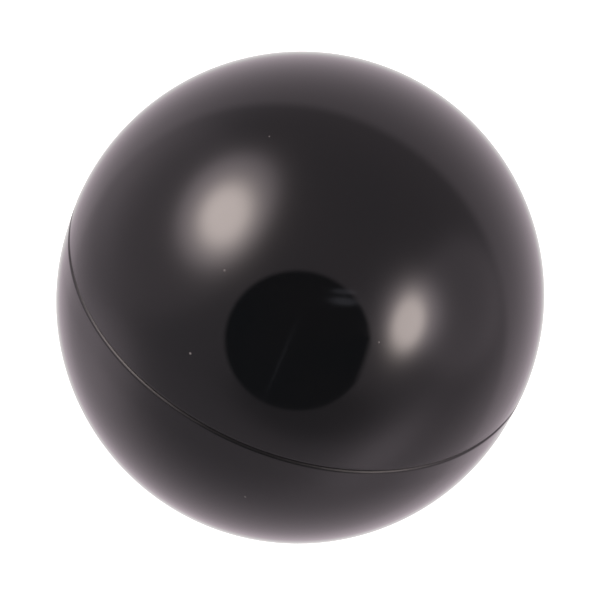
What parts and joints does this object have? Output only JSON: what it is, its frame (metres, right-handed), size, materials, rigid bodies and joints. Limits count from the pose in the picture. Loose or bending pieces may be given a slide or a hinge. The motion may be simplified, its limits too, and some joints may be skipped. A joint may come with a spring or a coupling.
{
  "type": "case opening friction ball",
  "caption": "Palm-size ball of tacky black rubber, two half shells cemented round a firm core, pressed on a screwed watch case back and turned to open it.",
  "frame": {"origin": "middle of the ball, half way between its poles", "axes": "+Z along the ball's axis, towards the pole of the upper shell; the joint between the shells is a circle round Z, a little above the middle"},
  "size_m": [0.0644, 0.0644, 0.0658],
  "materials": {
    "tacky_rubber_upper": "high gloss, moulded, slightly tacky",
    "tacky_rubber_lower": "high gloss, moulded, slightly tacky",
    "rubber_cement": "satin, dried black cement",
    "core_rubber": "matte, lightly scuffed so that cement holds"
  },
  "bodies": {
    "root": {"upper_shell": "tacky_rubber_upper", "lower_shell": "tacky_rubber_lower", "seam_cement": "rubber_cement", "core_ball": "core_rubber"}
  },
  "joints": []
}
